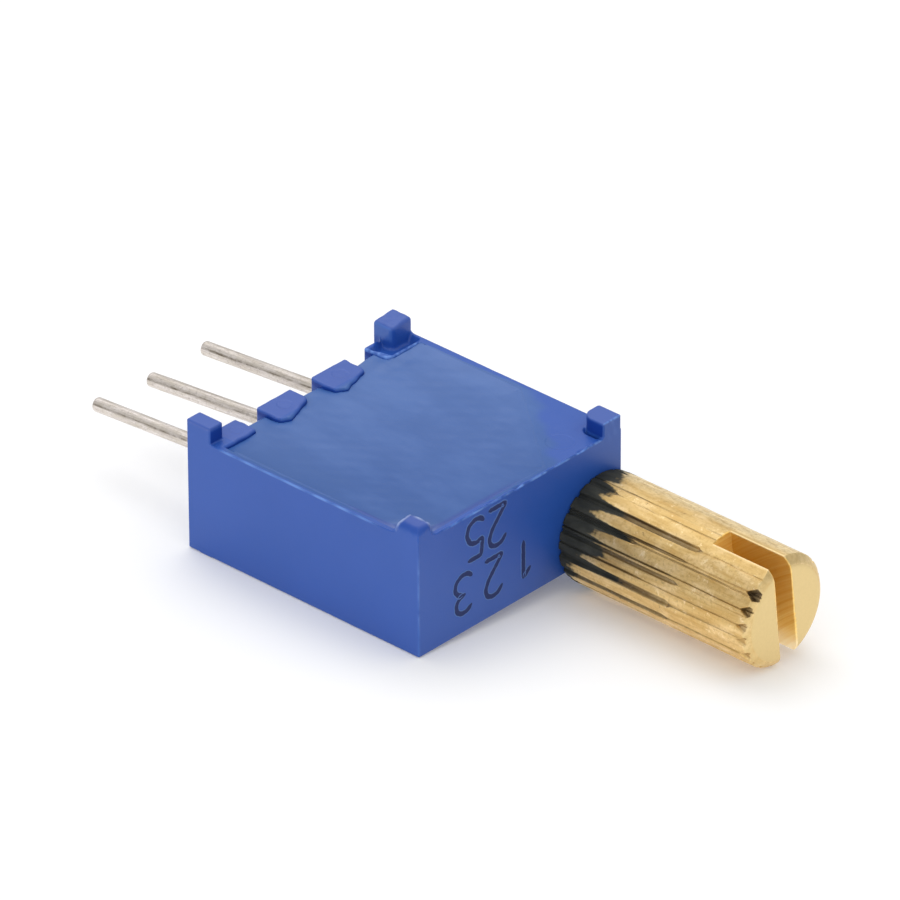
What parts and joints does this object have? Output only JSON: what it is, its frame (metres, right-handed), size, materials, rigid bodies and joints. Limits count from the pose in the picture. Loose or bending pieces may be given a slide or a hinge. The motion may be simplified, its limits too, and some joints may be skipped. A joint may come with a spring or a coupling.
{
  "type": "trimmer potentiometer",
  "caption": "Square sealed trimmer resistor in a blue moulded case, with wire pins on one side and a knurled, slotted brass adjusting shaft on the other.",
  "frame": {"origin": "centre of the housing's closed face", "axes": "+X along the shaft, from the pins towards the handle; +Y along the row of pins; +Z from the closed face towards the potted side"},
  "size_m": [0.0242, 0.0104, 0.0056],
  "materials": {
    "housing_plastic": "moulded, slightly glossy",
    "potting": "cast, glossy",
    "shaft_brass": "straight-knurled, worn, stained at its base",
    "tinned_wire": "dull tinned",
    "seal_rubber": "satin",
    "clip_steel": "stamped",
    "rotor_plastic": "moulded",
    "wiper_alloy": "stamped sheet",
    "alumina": "fired, matte",
    "resistive_film": "fired film",
    "conductor_film": "fired film",
    "solder": "reflowed"
  },
  "bodies": {
    "case": {"housing": "housing_plastic", "epoxy_fill": "potting", "pin_1": "tinned_wire", "pin_2": "tinned_wire", "pin_3": "tinned_wire", "retaining_clip": "clip_steel", "substrate": "alumina", "resistive_track": "resistive_film", "wiper_conductor": "conductor_film", "end_conductor_1": "conductor_film", "end_conductor_3": "conductor_film", "solder_joint_1": "solder", "solder_joint_2": "solder", "solder_joint_3": "solder"},
    "shaft": {"adjusting_shaft": "shaft_brass", "o_ring": "seal_rubber"},
    "rotor": {"rotor_gear": "rotor_plastic", "wiper_spring": "wiper_alloy"}
  },
  "joints": [
    {"name": "shaft_turn", "type": "hinge", "parent": "case", "child": "shaft", "pos_m": [0.00502, 0.00369, 0.0011], "axis": [1, 0, 0], "range_deg": [-4500, 4500]},
    {"name": "rotor_turn", "type": "hinge", "parent": "case", "child": "rotor", "pos_m": [0.00061, -0.00018, 0.001], "axis": [0, 0, 1], "range_deg": [-136.4, 136.4]}
  ],
  "couplings": [
    {"joint": "rotor_turn", "follows": "shaft_turn", "ratio": 0.030303}
  ]
}
